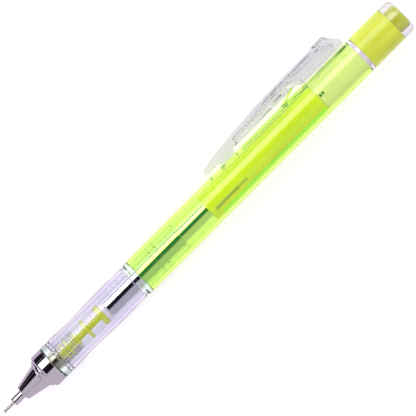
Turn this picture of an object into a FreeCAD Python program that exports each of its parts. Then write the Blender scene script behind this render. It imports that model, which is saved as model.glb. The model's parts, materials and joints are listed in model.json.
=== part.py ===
"""A shaker mechanical pencil that lies on a table: clear coloured barrel, soft grip, metal nose and side clip.

The pencil is drawn standing on its tip: X points to the clip, Z runs up the axis, and "station" means the
distance from the tip in millimetres. The last step lays it down along +X, resting on the barrel and the clip.
"""
import FreeCAD
import Part

import math
import os

from FreeCAD import Matrix, Placement, Vector

# ---- driving dimensions, in millimetres ----
LENGTH = 148.0
BARREL_R = 5.3
BARREL_BORE_R = 4.35
GRIP_R = 5.08
GRIP_WAIST_R = 4.8
LEAD_R = 0.28
SLIDE_GAP = 0.05             # radial running clearance of guided pieces
FIT_GAP = 0.02               # radial gap of pieces that are pushed or screwed together
CLIP_HALF_WIDTH = 2.3        # at the base; the arm is a little narrower

# stations along the axis, from the tip
PIPE_END = 3.55              # the lead pipe enters the nose
NOSE_STEP = 6.85             # the nose's front spigot meets its cone
CONE_END = 13.4
NOSE_SHOULDER = 15.0
NOSE_END = 18.2
GRIP_START = 20.3
GRIP_END = 48.4
BARREL_START = 50.5
CORE_TAIL_END = 65.5
BARREL_END = 132.0
KNOB_START = 133.3
KNOB_END = 144.0

# travels
KNOCK_TRAVEL = 3.0
LOCK_TRAVEL = 2.0
WEIGHT_TRAVEL = 8.0
ERASER_TRAVEL = 8.0
HELIX_PITCH = 4.0            # eraser travel per turn of the knob
CLIP_OPENING_DEG = 4.0

# the feed mechanism
PIPE_R = 0.42
PIPE_BORE_R = 0.29
PIPE_SEAT_END = 7.2
NOSE_BORE_R = 1.7            # clears the chuck's head when it runs forward
SPIGOT_R = 1.22              # a tip guard pushes on here
THREAD_START = 15.4          # the grip core screws into the nose from here to the nose's end
THREAD_R = 3.72
CLUTCH_BORE_START = 12.3
CLUTCH_BORE_R = 2.05
RETAINER_R = 0.85
RETAINER_END = 9.4
CHUCK_START = 12.9
CHUCK_HEAD_R = 1.45
CHUCK_NECK_R = 0.72
CHUCK_TAPER_END = 16.8
CHUCK_SLIT_END = 20.0
CHUCK_END = 25.0
CLUTCH_START = 13.6
CLUTCH_END = 16.6
CLUTCH_R = 1.95
CAGE_START = 16.8            # the cage's foot, which the clutch ring backs on
CAGE_FOOT_END = 20.5
CAGE_END = 26.4
CAGE_FOOT_R = 2.6
CAGE_FOOT_BORE_R = 1.55
CAGE_R = 2.35
CAGE_BORE_R = 2.05
CORE_BORE_R = 3.1
CORE_TAIL_R = 4.1
GUIDE_CORE_R = 1.0
GUIDE_START = 21.0
GUIDE_END = 37.4
GUIDE_FLANGE_R = CORE_BORE_R - 2 * SLIDE_GAP
FRONT_FLANGE = 26.7          # the return spring pushes on this one, which enters the cage
FRONT_FLANGE_R = 1.95
STRIKER_START = 36.9
STRIKER_END = 38.2
LEAD_TUBE_R = 1.5
LEAD_TUBE_BORE_R = 0.8
LEAD_TUBE_END = 88.0
WEIGHT_START = 38.4
WEIGHT_END = 75.9
WEIGHT_R = 2.76
WEIGHT_BORE_R = 1.8
CARRIER_START = 75.5
CARRIER_END = 116.8
CARRIER_R = 4.1
CARRIER_STOP = 85.4          # the wall that stops the weight and holds the lead tube
LEAD_START = 0.6
LEAD_END = 60.6

# the clip; heights are distances from the pencil's axis
CLIP_TIP = 81.4
CLIP_HINGE = 111.7
CLIP_BACK = 131.6
CLIP_ARM_HALF_WIDTH = 2.1
CLIP_TIP_HALF_WIDTH = 1.7
CLIP_EDGE_BEVEL = 0.5
CLIP_UNDERSIDE = 6.4
CLIP_PEAK_STATION = 128.5
CLIP_PEAK_HEIGHT = 10.96
CLIP_HINGE_HEIGHT = 10.34
CLIP_HINGE_LOW = 8.9         # the joint runs straight down to here, then slopes back to the saddle
CLIP_SLOPE_END = 116.3
CLIP_WALL = 0.85
CLIP_SADDLE_R = BARREL_R + 0.08
CLIP_JOINT_GAP = 0.1
WEB_START = 117.0
WEB_END = 121.0
WEB_HALF_WIDTH = 1.0
PUSHER_BORE_R = 2.6
SLOT_HALF_WIDTH = 1.2
SLOT_START = WEB_START - KNOCK_TRAVEL - 0.3

# the eraser unit
ERASER_R = 3.15
ERASER_START = 124.4
ERASER_END = 147.4
TRAY_R = 3.5
TRAY_START = 123.6
TRAY_END = 135.6
PEG_STATION = 135.0
PEG_R = 0.45
PEG_REACH = 4.6
SLEEVE_BORE_R = 3.6
SLEEVE_R = 4.05
SLEEVE_START = 123.6
SLEEVE_END = 143.7
KNOB_R = 5.25
SNAP = 0.15                  # the bead that keeps the knob on stands this high
SNAP_START = 133.65
SNAP_END = 134.1
KNOB_BORE_R = 4.15
KNOB_GROOVE_R = 4.72
KNOB_GROOVE_WIDTH = 1.25
NECK_R = 3.6
NECK_BORE_R = 3.22
NECK_END = 147.3
CAP_BORE_R = 3.62
CAP_CORNER_AXIAL = 2.4
CAP_FLAT_R = 3.62


def turned(outline):
    """A solid of revolution about Z from a closed outline of (station, radius) points."""
    corners = [Vector(radius, 0, station) for station, radius in outline]
    return turned_edges(Part.makePolygon(corners + corners[:1]).Edges)


def turned_edges(edges):
    """A solid of revolution about Z from the edges of a closed outline in the XZ plane."""
    return Part.Face(Part.Wire(edges)).revolve(Vector(), Vector(0, 0, 1), 360)


def tube(start, end, outer, inner):
    """A plain tube on the axis."""
    length = end - start
    return rod(start, end, outer).cut(Part.makeCylinder(inner, length, Vector(0, 0, start)))


def rod(start, end, radius):
    """A plain round bar on the axis."""
    return Part.makeCylinder(radius, end - start, Vector(0, 0, start))


def block(x_low, x_high, half_width, start, end):
    """A box centred across Y, from one X to another and from one station to another."""
    corner = Vector(x_low, -half_width, start)
    return Part.makeBox(x_high - x_low, 2 * half_width, end - start, corner)


def turned_copies(shape, count):
    """Copies of a shape, evenly spaced round the axis."""
    step = 360 / count
    return [shape.rotated(Vector(), Vector(0, 0, 1), index * step) for index in range(count)]


def point(station, radius):
    """A point of an outline in the XZ plane."""
    return Vector(radius, 0, station)


def line(start, end):
    """A straight edge between two (station, radius) points."""
    return Part.LineSegment(point(*start), point(*end)).toShape()


def arc(start, middle, end):
    """A round edge through three (station, radius) points."""
    return Part.Arc(point(*start), point(*middle), point(*end)).toShape()


def curve(*places):
    """A smooth edge through (station, radius) points."""
    spline = Part.BSplineCurve()
    spline.interpolate([point(*place) for place in places])
    return spline.toShape()


# ---- nose and feed mechanism ----

def lead_pipe():
    """The thin steel pipe that the lead leaves by."""
    bevel = 0.08
    return turned([
        (0, PIPE_BORE_R), (0, PIPE_R - bevel), (bevel, PIPE_R),
        (PIPE_SEAT_END, PIPE_R), (PIPE_SEAT_END, PIPE_BORE_R),
    ])


def nose_cone():
    """The plated metal nose, with its stepped bore and the thread seat for the grip core."""
    spigot_bevel = 0.12
    cone_front_r, cone_back_r = 2.12, 3.46
    collar_r, shoulder_r = 4.38, GRIP_R
    collar_end, rim_bevel = 14.35, 0.35
    corner = 0.45
    edges = [
        line((PIPE_END, PIPE_R), (PIPE_END, SPIGOT_R - spigot_bevel)),
        line((PIPE_END, SPIGOT_R - spigot_bevel), (PIPE_END + spigot_bevel, SPIGOT_R)),
        line((PIPE_END + spigot_bevel, SPIGOT_R), (NOSE_STEP, SPIGOT_R)),
        line((NOSE_STEP, SPIGOT_R), (NOSE_STEP, cone_front_r - corner)),
        arc((NOSE_STEP, cone_front_r - corner),
            (NOSE_STEP + 0.3 * corner, cone_front_r - 0.25 * corner),
            (NOSE_STEP + corner, cone_front_r)),
        line((NOSE_STEP + corner, cone_front_r), (CONE_END, cone_back_r)),
        line((CONE_END, cone_back_r), (collar_end, collar_r)),
        line((collar_end, collar_r), (NOSE_SHOULDER - rim_bevel, collar_r + 0.12)),
        line((NOSE_SHOULDER - rim_bevel, collar_r + 0.12), (NOSE_SHOULDER, shoulder_r)),
        line((NOSE_SHOULDER, shoulder_r), (NOSE_END, shoulder_r)),
        line((NOSE_END, shoulder_r), (NOSE_END, THREAD_R)),
        line((NOSE_END, THREAD_R), (THREAD_START, THREAD_R)),
        line((THREAD_START, THREAD_R), (THREAD_START, CLUTCH_BORE_R)),
        line((THREAD_START, CLUTCH_BORE_R), (CLUTCH_BORE_START, CLUTCH_BORE_R)),
        line((CLUTCH_BORE_START, CLUTCH_BORE_R), (CLUTCH_BORE_START, NOSE_BORE_R)),
        line((CLUTCH_BORE_START, NOSE_BORE_R), (RETAINER_END, NOSE_BORE_R)),
        line((RETAINER_END, NOSE_BORE_R), (RETAINER_END, RETAINER_R)),
        line((RETAINER_END, RETAINER_R), (PIPE_SEAT_END, RETAINER_R)),
        line((PIPE_SEAT_END, RETAINER_R), (PIPE_SEAT_END, PIPE_R)),
        line((PIPE_SEAT_END, PIPE_R), (PIPE_END, PIPE_R)),
    ]
    return turned_edges(edges)


def lead_retainer():
    """The rubber bush that keeps the lead from falling back."""
    return tube(PIPE_SEAT_END, RETAINER_END, RETAINER_R, LEAD_R + 0.01)


def lead():
    """One stick of lead, its point just inside the pipe."""
    return rod(LEAD_START, LEAD_END, LEAD_R)


def chuck():
    """The split brass chuck, three jaws with a flared head."""
    head_flat, grip_r = 0.8, 1.0
    body = turned([
        (CHUCK_START, LEAD_R + 0.02), (CHUCK_START, CHUCK_HEAD_R - 0.3),
        (CHUCK_START + 0.3, CHUCK_HEAD_R), (CHUCK_START + head_flat, CHUCK_HEAD_R),
        (CHUCK_TAPER_END, grip_r), (CHUCK_TAPER_END + 0.6, CHUCK_NECK_R),
        (CHUCK_END, CHUCK_NECK_R), (CHUCK_END, LEAD_R + 0.02),
    ])
    slit_width = 0.22
    slit = Part.makeBox(CHUCK_HEAD_R + 1, slit_width, CHUCK_SLIT_END - CHUCK_START + 1,
                        Vector(0, -slit_width / 2, CHUCK_START - 1))
    return body.cut(turned_copies(slit, 3))


def clutch_ring():
    """The brass ring that closes the chuck's jaws."""
    bevel = 0.2
    bore_r = CHUCK_HEAD_R + SLIDE_GAP
    return turned([
        (CLUTCH_START, bore_r), (CLUTCH_START, CLUTCH_R - bevel),
        (CLUTCH_START + bevel, CLUTCH_R), (CLUTCH_END - bevel, CLUTCH_R),
        (CLUTCH_END, CLUTCH_R - bevel), (CLUTCH_END, bore_r),
    ])


def spring_cage():
    """The slotted metal cage round the return spring; its foot backs the clutch ring."""
    slots, slot_width, web = 6, 1.0, 0.5
    body = tube(CAGE_START, CAGE_FOOT_END, CAGE_FOOT_R, CAGE_FOOT_BORE_R)
    body = body.fuse(tube(CAGE_FOOT_END, CAGE_END, CAGE_R, CAGE_BORE_R))
    length = CAGE_END - CAGE_FOOT_END - 2 * web
    slot = Part.makeBox(CAGE_R + 1, slot_width, length, Vector(0, -slot_width / 2, CAGE_FOOT_END + web))
    return body.cut(turned_copies(slot, slots)).removeSplitter()


def return_spring():
    """The coil spring that draws the chuck back, its wire drawn as short straight lengths."""
    coil_r, wire_r, turns, sides, lengths_per_turn = 1.6, 0.18, 8, 6, 14
    first, last = CAGE_FOOT_END + wire_r + 0.05, FRONT_FLANGE - wire_r - 0.05
    count = turns * lengths_per_turn
    corners = []
    for index in range(count + 1):
        turn = 2 * math.pi * index / lengths_per_turn
        station = first + (last - first) * index / count
        corners.append(Vector(coil_r * math.cos(turn), coil_r * math.sin(turn), station))
    start_way = (corners[1] - corners[0]).normalize()
    across = start_way.cross(Vector(0, 0, 1)).normalize()
    upward = across.cross(start_way)
    section = []
    for index in range(sides + 1):
        angle = 2 * math.pi * index / sides
        section.append(corners[0] + across * wire_r * math.cos(angle) + upward * wire_r * math.sin(angle))
    path = Part.Wire(Part.makePolygon(corners).Edges)
    corner_style = 1
    return path.makePipeShell([Part.makePolygon(section)], True, False, corner_style)


def swept(path, section):
    """A solid swept along a helix, its section kept square to the path."""
    sweep = Part.BRepOffsetAPI.MakePipeShell(Part.Wire(path.Edges))
    sweep.setFrenetMode(True)
    sweep.add(section)
    sweep.build()
    sweep.makeSolid()
    return sweep.shape()


def guide_tube():
    """The coloured tube behind the chuck, with flanges that run in the grip core's bore."""
    body = rod(GUIDE_START, GUIDE_END, GUIDE_CORE_R)
    places = (
        (FRONT_FLANGE, 27.4, FRONT_FLANGE_R),
        (30.5, 31.3, GUIDE_FLANGE_R),
        (35.4, STRIKER_START, GUIDE_FLANGE_R),
    )
    flanges = [rod(start, end, radius) for start, end, radius in places]
    body = body.fuse(flanges)
    body = body.cut([rod(GUIDE_START, CHUCK_END, CHUCK_NECK_R), rod(CHUCK_END, GUIDE_END, LEAD_TUBE_BORE_R)])
    return body.removeSplitter()


def striker_collar():
    """The white collar that the weight strikes; it joins the guide tube to the lead tube."""
    collar_r = 2.45
    body = rod(STRIKER_START, STRIKER_END, collar_r)
    front, back = rod(STRIKER_START, GUIDE_END, GUIDE_CORE_R), rod(GUIDE_END, STRIKER_END, LEAD_TUBE_R)
    return body.cut([front, back])


def lead_tube():
    """The tube of spare leads that the weight slides on."""
    return tube(GUIDE_END, LEAD_TUBE_END, LEAD_TUBE_R, LEAD_TUBE_BORE_R)


def shaker_weight():
    """The plated weight that strikes the collar when the pencil is shaken."""
    bevel = 0.15
    return turned([
        (WEIGHT_START, WEIGHT_BORE_R), (WEIGHT_START, WEIGHT_R - bevel),
        (WEIGHT_START + bevel, WEIGHT_R), (WEIGHT_END - bevel, WEIGHT_R),
        (WEIGHT_END, WEIGHT_R - bevel), (WEIGHT_END, WEIGHT_BORE_R),
    ])


def carrier():
    """The coloured pusher tube: a pocket for the weight, a stop wall, and a funnel for spare leads."""
    pocket_r, chamber_r, funnel = 3.05, 3.2, 3.0
    stop_back = LEAD_TUBE_END
    body = turned([
        (CARRIER_START, pocket_r), (CARRIER_START, CARRIER_R), (CARRIER_END, CARRIER_R),
        (CARRIER_END, chamber_r), (stop_back + funnel, chamber_r), (stop_back, LEAD_TUBE_R),
        (CARRIER_STOP, LEAD_TUBE_R), (CARRIER_STOP, pocket_r),
    ])
    return body.cut(latch_slot())


def latch_slot():
    """The L-shaped slot that frees a latch finger in the carrier's front wall."""
    start, end, width = 77.4, 88.6, 0.75
    leg_x, leg_end_x = -1.95, -3.0
    long_leg = Part.makeBox(width, CARRIER_R, end - start, Vector(leg_x, 2.2, start))
    short_leg = Part.makeBox(leg_x - leg_end_x + width, CARRIER_R, width, Vector(leg_end_x, 1.6, start))
    return long_leg.fuse(short_leg)


# ---- grip and barrel ----

def grip_core():
    """The clear inner sleeve: thread for the nose, a ring at each end of the grip, and a tail in the barrel."""
    ring_bevel, notch_r = 0.9, 5.0
    under_grip_r = 4.2
    bead_start, bead_end = 56.4, 58.6
    bead_r, thread_r = BARREL_BORE_R - FIT_GAP, THREAD_R - FIT_GAP
    return turned([
        (THREAD_START, CAGE_FOOT_R), (THREAD_START, thread_r), (NOSE_END, thread_r),
        (NOSE_END, GRIP_R), (GRIP_START, GRIP_R), (GRIP_START, under_grip_r),
        (GRIP_END, under_grip_r), (GRIP_END, notch_r), (GRIP_END + ring_bevel / 2, notch_r),
        (GRIP_END + ring_bevel, BARREL_R - 0.04), (BARREL_START, BARREL_R - 0.04),
        (BARREL_START, CORE_TAIL_R), (bead_start, CORE_TAIL_R), (bead_start + 0.2, bead_r),
        (bead_end - 0.2, bead_r), (bead_end, CORE_TAIL_R), (CORE_TAIL_END, CORE_TAIL_R),
        (CORE_TAIL_END, CORE_BORE_R), (CAGE_FOOT_END, CORE_BORE_R), (CAGE_FOOT_END, CAGE_FOOT_R),
    ])


def grip_skin():
    """The tinted soft grip over the core, narrower behind its front lip."""
    under_grip_r = 4.2
    lip_r, lip = GRIP_R, GRIP_START + 1.2
    outer = curve((lip, lip_r), (24.5, 4.9), (28.3, GRIP_WAIST_R), (33.5, 4.97), (39.5, 5.14), (GRIP_END - 0.5, 5.06))
    edges = [
        line((GRIP_START, under_grip_r), (GRIP_START, lip_r - 0.25)),
        arc((GRIP_START, lip_r - 0.25), (GRIP_START + 0.35, lip_r - 0.06), (lip, lip_r)),
        outer,
        line((GRIP_END - 0.5, 5.06), (GRIP_END, 4.9)),
        line((GRIP_END, 4.9), (GRIP_END, under_grip_r)),
        line((GRIP_END, under_grip_r), (GRIP_START, under_grip_r)),
    ]
    return turned_edges(edges)


def barrel():
    """The clear coloured barrel, slotted for the clip's web, with its sprung tongue in front of the slot."""
    bevel = 0.12
    body = turned([
        (BARREL_START, BARREL_BORE_R), (BARREL_START, BARREL_R - bevel), (BARREL_START + bevel, BARREL_R),
        (BARREL_END - bevel, BARREL_R), (BARREL_END, BARREL_R - bevel), (BARREL_END, BARREL_BORE_R),
    ])
    slot = block(BARREL_BORE_R - 1, BARREL_R + 1, SLOT_HALF_WIDTH, SLOT_START, BARREL_END + 1)
    return body.cut(slot).fuse(tongue()).removeSplitter()


def tongue():
    """The thin tongue that rises from the barrel towards the clip."""
    start, end, rise, thickness = 108.3, 113.6, 1.65, 0.42
    half_width, root = 0.7, 0.4
    corners = [
        Vector(BARREL_R - root, 0, start - 0.3), Vector(BARREL_R, 0, start), Vector(BARREL_R + rise, 0, end),
        Vector(BARREL_R + rise - thickness, 0, end), Vector(BARREL_R - 0.02, 0, start + 1.9),
        Vector(BARREL_R - root, 0, start + 1.9),
    ]
    return extruded(corners, half_width)


def extruded(corners, half_width):
    """A solid from an outline in the XZ plane, thickened evenly to both sides of it."""
    face = Part.Face(Part.makePolygon(corners + corners[:1]))
    face.translate(Vector(0, -half_width, 0))
    return face.extrude(Vector(0, 2 * half_width, 0))


# ---- clip ----

def clip_top_edge():
    """The clip's outer edge in the side view, from its tip to its back, as (station, height) places."""
    rise = curve((83.9, 8.3), (91.0, 9.15), (98.1, 9.66), (106.0, 10.18), (CLIP_HINGE, CLIP_HINGE_HEIGHT))
    back = curve((CLIP_HINGE, CLIP_HINGE_HEIGHT), (121.0, 10.42), (CLIP_PEAK_STATION, CLIP_PEAK_HEIGHT))
    return rise, back


def clip_slope_station(height):
    """The station of the sloped part of the joint between arm and base, at a height."""
    slope = (CLIP_SLOPE_END - CLIP_HINGE) / (CLIP_HINGE_LOW - BARREL_R)
    return CLIP_HINGE + slope * (CLIP_HINGE_LOW - height)


def clip_arm_side():
    """The side outline of the arm: rounded tip, straight underside and the barb over the barrel."""
    rise, _ = clip_top_edge()
    end = CLIP_HINGE - CLIP_JOINT_GAP
    slope_foot = (clip_slope_station(CLIP_UNDERSIDE) - CLIP_JOINT_GAP, CLIP_UNDERSIDE)
    nose_low, nose_high = 5.98, 8.06
    barb_low = BARREL_R + 0.06
    edges = [
        rise,
        line((CLIP_HINGE, CLIP_HINGE_HEIGHT), (end, CLIP_HINGE_LOW)),
        line((end, CLIP_HINGE_LOW), slope_foot),
        line(slope_foot, (91.8, CLIP_UNDERSIDE)),
        line((91.8, CLIP_UNDERSIDE), (91.0, barb_low)),
        line((91.0, barb_low), (86.8, barb_low)),
        line((86.8, barb_low), (85.4, CLIP_UNDERSIDE - 0.2)),
        line((85.4, CLIP_UNDERSIDE - 0.2), (82.3, nose_low)),
        arc((82.3, nose_low), (CLIP_TIP, 6.9), (81.95, 7.85)),
        line((81.95, 7.85), (83.9, 8.3)),
    ]
    return Part.Face(Part.Wire(edges))


def clip_plan(start, end, half_width):
    """A tapered prism that gives the arm its outline from above."""
    corners = [
        Vector(0, -CLIP_TIP_HALF_WIDTH, start), Vector(0, -half_width, end),
        Vector(0, half_width, end), Vector(0, CLIP_TIP_HALF_WIDTH, start),
    ]
    return Part.Face(Part.makePolygon(corners + corners[:1])).extrude(Vector(CLIP_PEAK_HEIGHT + 1, 0, 0))


def clip_arm():
    """The clip's springy arm, a channel that is open underneath."""
    wide = CLIP_ARM_HALF_WIDTH
    side = clip_arm_side()
    side.translate(Vector(0, -wide, 0))
    body = side.extrude(Vector(0, 2 * wide, 0)).common(clip_plan(CLIP_TIP, CLIP_SLOPE_END, wide))
    inner_half, roof = wide - CLIP_WALL, 1.15
    start, end = 92.4, CLIP_SLOPE_END
    corners = [
        Vector(0, 0, start), Vector(9.2 - roof, 0, start), Vector(9.66 - roof, 0, 98.1),
        Vector(10.18 - roof, 0, 106.0), Vector(CLIP_HINGE_HEIGHT - roof, 0, end), Vector(0, 0, end),
    ]
    return body.cut(extruded(corners, inner_half - 0.15))


def clip_base():
    """The clip's base: a hollow saddle on the barrel, a web through the slot and the pusher ring inside."""
    _, back = clip_top_edge()
    wide, foot = CLIP_HALF_WIDTH, 4.4
    front = CLIP_HINGE
    edges = [
        back,
        line((CLIP_PEAK_STATION, CLIP_PEAK_HEIGHT), (CLIP_BACK, 6.75)),
        line((CLIP_BACK, 6.75), (CLIP_BACK, foot)),
        line((CLIP_BACK, foot), (CLIP_SLOPE_END, foot)),
        line((CLIP_SLOPE_END, foot), (CLIP_SLOPE_END, BARREL_R)),
        line((CLIP_SLOPE_END, BARREL_R), (front, CLIP_HINGE_LOW)),
        line((front, CLIP_HINGE_LOW), (front, CLIP_HINGE_HEIGHT)),
    ]
    side = Part.Face(Part.Wire(edges))
    side.translate(Vector(0, -wide, 0))
    body = side.extrude(Vector(0, 2 * wide, 0))
    body = body.cut(rod(front - 1, CLIP_BACK + 1, CLIP_SADDLE_R))
    body = body.cut(clip_hollow()).cut(clip_edge_bevels())
    web = block(CARRIER_R - 0.6, CLIP_SADDLE_R + 0.9, WEB_HALF_WIDTH, WEB_START, WEB_END)
    deck = block(CLIP_SADDLE_R + 0.02, CLIP_SADDLE_R + 0.9, wide - CLIP_WALL, WEB_START, WEB_END)
    ring = tube(CARRIER_END, WEB_END, CARRIER_R, PUSHER_BORE_R)
    return body.fuse([web, deck, ring]).removeSplitter()


def clip_hollow():
    """The hollow under the base's roof, which the barrel's tongue enters."""
    half, roof = CLIP_HALF_WIDTH - CLIP_WALL - 0.2, 1.15
    corners = [
        Vector(0, 0, CLIP_HINGE - 1), Vector(CLIP_HINGE_HEIGHT - roof, 0, CLIP_HINGE - 1),
        Vector(CLIP_HINGE_HEIGHT - roof, 0, 125.6), Vector(6.6, 0, 129.6), Vector(0, 0, 129.6),
    ]
    return extruded(corners, half)


def clip_edge_bevels():
    """Two wedges that take the sharp edges off the base's top corners."""
    high, low = CLIP_PEAK_HEIGHT + 1, CLIP_HINGE_HEIGHT - CLIP_EDGE_BEVEL
    wide = CLIP_HALF_WIDTH
    reach = high - low
    wedges = []
    for side in (-1, 1):
        corners = [
            Vector(low, side * wide, CLIP_HINGE - 1), Vector(high, side * (wide - reach), CLIP_HINGE - 1),
            Vector(high, side * (wide + 1), CLIP_HINGE - 1), Vector(low, side * (wide + 1), CLIP_HINGE - 1),
        ]
        face = Part.Face(Part.makePolygon(corners + corners[:1]))
        wedges.append(face.extrude(Vector(0, 0, CLIP_BACK - CLIP_HINGE + 2)))
    return wedges


# ---- eraser unit ----

def eraser_sleeve():
    """The clear fixed sleeve: a collar on the barrel's end, and two slots that keep the tray from turning."""
    plug_r, bead_r = BARREL_BORE_R - FIT_GAP, SLEEVE_R + SNAP
    body = turned([
        (SLEEVE_START, SLEEVE_BORE_R), (SLEEVE_START, plug_r), (BARREL_END, plug_r),
        (BARREL_END, KNOB_R), (KNOB_START - 0.05, KNOB_R), (KNOB_START - 0.05, SLEEVE_R),
        (SNAP_START, SLEEVE_R), (SNAP_START, bead_r), (SNAP_START + 0.2, bead_r),
        (SNAP_END, SLEEVE_R), (SLEEVE_END, SLEEVE_R), (SLEEVE_END, SLEEVE_BORE_R),
    ])
    half_width, slot_start = PEG_R + SLIDE_GAP, PEG_STATION - PEG_R - 0.15
    slot = Part.makeBox(4 * SLEEVE_R, 2 * half_width, SLEEVE_END - slot_start + 1,
                        Vector(-2 * SLEEVE_R, -half_width, slot_start))
    return body.cut(slot)


def eraser_tray():
    """The cup that holds the eraser, with two pegs that follow the knob's screw."""
    cup = tube(TRAY_START, TRAY_END, TRAY_R, ERASER_R)
    floor = rod(TRAY_START, ERASER_START, TRAY_R)
    peg = Part.makeCylinder(PEG_R, PEG_REACH - TRAY_R + 0.2, Vector(TRAY_R - 0.2, 0, PEG_STATION), Vector(1, 0, 0))
    return cup.fuse([floor] + turned_copies(peg, 2)).removeSplitter()


def eraser():
    """The eraser stick, with a rounded top edge."""
    corner = 0.5
    return turned_edges([
        line((ERASER_START, 0), (ERASER_START, ERASER_R)),
        line((ERASER_START, ERASER_R), (ERASER_END - corner, ERASER_R)),
        arc((ERASER_END - corner, ERASER_R),
            (ERASER_END - 0.29 * corner, ERASER_R - 0.29 * corner),
            (ERASER_END, ERASER_R - corner)),
        line((ERASER_END, ERASER_R - corner), (ERASER_END, 0)),
        line((ERASER_END, 0), (ERASER_START, 0)),
    ])


def twist_knob():
    """The coloured knob: two screw grooves in its bore, and a neck under the clear cap."""
    bevel, recess_r = 0.12, KNOB_BORE_R + SNAP
    body = turned([
        (SNAP_START - SLIDE_GAP, KNOB_BORE_R), (KNOB_START, KNOB_BORE_R), (KNOB_START, KNOB_R - bevel), (KNOB_START + bevel, KNOB_R),
        (KNOB_END, KNOB_R), (KNOB_END, NECK_R), (NECK_END, NECK_R), (NECK_END, NECK_BORE_R),
        (KNOB_END - 0.1, NECK_BORE_R), (KNOB_END - 0.1, KNOB_BORE_R),
        (SNAP_END + SLIDE_GAP, KNOB_BORE_R), (SNAP_END + SLIDE_GAP, recess_r),
        (SNAP_START - SLIDE_GAP, recess_r),
    ])
    for groove in turned_copies(screw_groove(), 2):
        body = body.cut(groove)
    return body


def screw_groove():
    """The swept cutter of one screw groove; it meets a peg at rest."""
    inner = KNOB_BORE_R - 0.4
    height = ERASER_TRAVEL + 0.02
    path = Part.makeHelix(HELIX_PITCH, height, inner)
    path.translate(Vector(0, 0, PEG_STATION))
    half = KNOB_GROOVE_WIDTH / 2
    corners = [Vector(inner, 0, -half), Vector(KNOB_GROOVE_R, 0, -half),
               Vector(KNOB_GROOVE_R, 0, half), Vector(inner, 0, half)]
    section = Part.makePolygon(corners + corners[:1])
    section.translate(Vector(0, 0, PEG_STATION))
    end_r = half
    start_pocket = Part.makeCylinder(end_r, KNOB_GROOVE_R - inner, Vector(inner, 0, PEG_STATION), Vector(1, 0, 0))
    turn = 360 * height / HELIX_PITCH
    end_pocket = Part.makeCylinder(end_r, KNOB_GROOVE_R - inner,
                                   Vector(inner, 0, PEG_STATION + height), Vector(1, 0, 0))
    end_pocket.rotate(Vector(), Vector(0, 0, 1), turn)
    return swept(path, section).fuse([start_pocket, end_pocket])


def end_cap():
    """The clear rounded cap on the knob's neck, open for the eraser."""
    corner_start = LENGTH - CAP_CORNER_AXIAL
    drop = KNOB_R - CAP_FLAT_R
    middle = (corner_start + 0.71 * CAP_CORNER_AXIAL, CAP_FLAT_R + 0.66 * drop)
    return turned_edges([
        line((KNOB_END, CAP_BORE_R), (KNOB_END, KNOB_R)),
        line((KNOB_END, KNOB_R), (corner_start, KNOB_R)),
        arc((corner_start, KNOB_R), middle, (LENGTH, CAP_FLAT_R)),
        line((LENGTH, CAP_FLAT_R), (LENGTH, NECK_BORE_R)),
        line((LENGTH, NECK_BORE_R), (NECK_END + 0.02, NECK_BORE_R)),
        line((NECK_END + 0.02, NECK_BORE_R), (NECK_END + 0.02, CAP_BORE_R)),
        line((NECK_END + 0.02, CAP_BORE_R), (KNOB_END, CAP_BORE_R)),
    ])


# ---- laying the pencil down ----

def clip_corners():
    """The clip's outermost corners at its peak, as (height, half width)."""
    bevel_low = CLIP_HINGE_HEIGHT - CLIP_EDGE_BEVEL
    return ((CLIP_PEAK_HEIGHT, CLIP_HALF_WIDTH - (CLIP_PEAK_HEIGHT - bevel_low)), (bevel_low, CLIP_HALF_WIDTH))


def lie_angle():
    """How far the clip hangs below level when it touches the table, in radians."""
    angles = []
    for height, half_width in clip_corners():
        reach = math.hypot(height, half_width)
        angles.append(math.asin(BARREL_R / reach) - math.atan2(half_width, height))
    return min(angles)


def lie_placement():
    """Lays the pencil along +X, on the table at Z 0, centred on its own box."""
    angle = lie_angle()
    cos, sin = math.cos(angle), math.sin(angle)
    widest = max(height * cos + half_width * sin for height, half_width in clip_corners())
    y_shift = (BARREL_R - widest) / 2
    turn = Matrix(
        0, 0, 1, -LENGTH / 2,
        cos, sin, 0, y_shift,
        -sin, cos, 0, BARREL_R,
        0, 0, 0, 1,
    )
    return Placement(turn)


PIECES = (
    lead_pipe, nose_cone, lead_retainer, lead, chuck, clutch_ring, spring_cage, return_spring,
    guide_tube, striker_collar, lead_tube, shaker_weight, carrier, grip_core, grip_skin, barrel,
    clip_arm, clip_base, eraser_sleeve, eraser_tray, eraser, twist_knob, end_cap,
)


def main():
    """Builds every piece, lays it down and writes one STEP file each."""
    os.makedirs("parts", exist_ok=True)
    laid = lie_placement()
    print("lie angle", math.degrees(lie_angle()), "placement", laid.Base)
    for make in PIECES:
        shape = make()
        shape.transformShape(laid.toMatrix())
        solids = shape.Solids
        print(make.__name__, "solids", len(solids), "valid", shape.isValid(), "mm3", round(shape.Volume, 2))
        whole = solids[0] if len(solids) == 1 else Part.makeCompound(solids)
        whole.exportStep("parts/" + make.__name__ + ".step")


main()
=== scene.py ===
"""Looks of a shaker mechanical pencil: clear coloured barrel, tinted soft grip, plated nose and clear side clip.

Pieces are drawn in millimetres in a drawing frame: X is the distance from the tip along the pencil, Y points out
towards the clip and Z sideways. Bench.lay_down puts each finished piece into the row frame, in metres.
"""
import json
import logging
import math
from dataclasses import dataclass, field
from enum import Enum
from typing import Sequence

import bpy
from mathutils import Matrix, Vector


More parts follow.
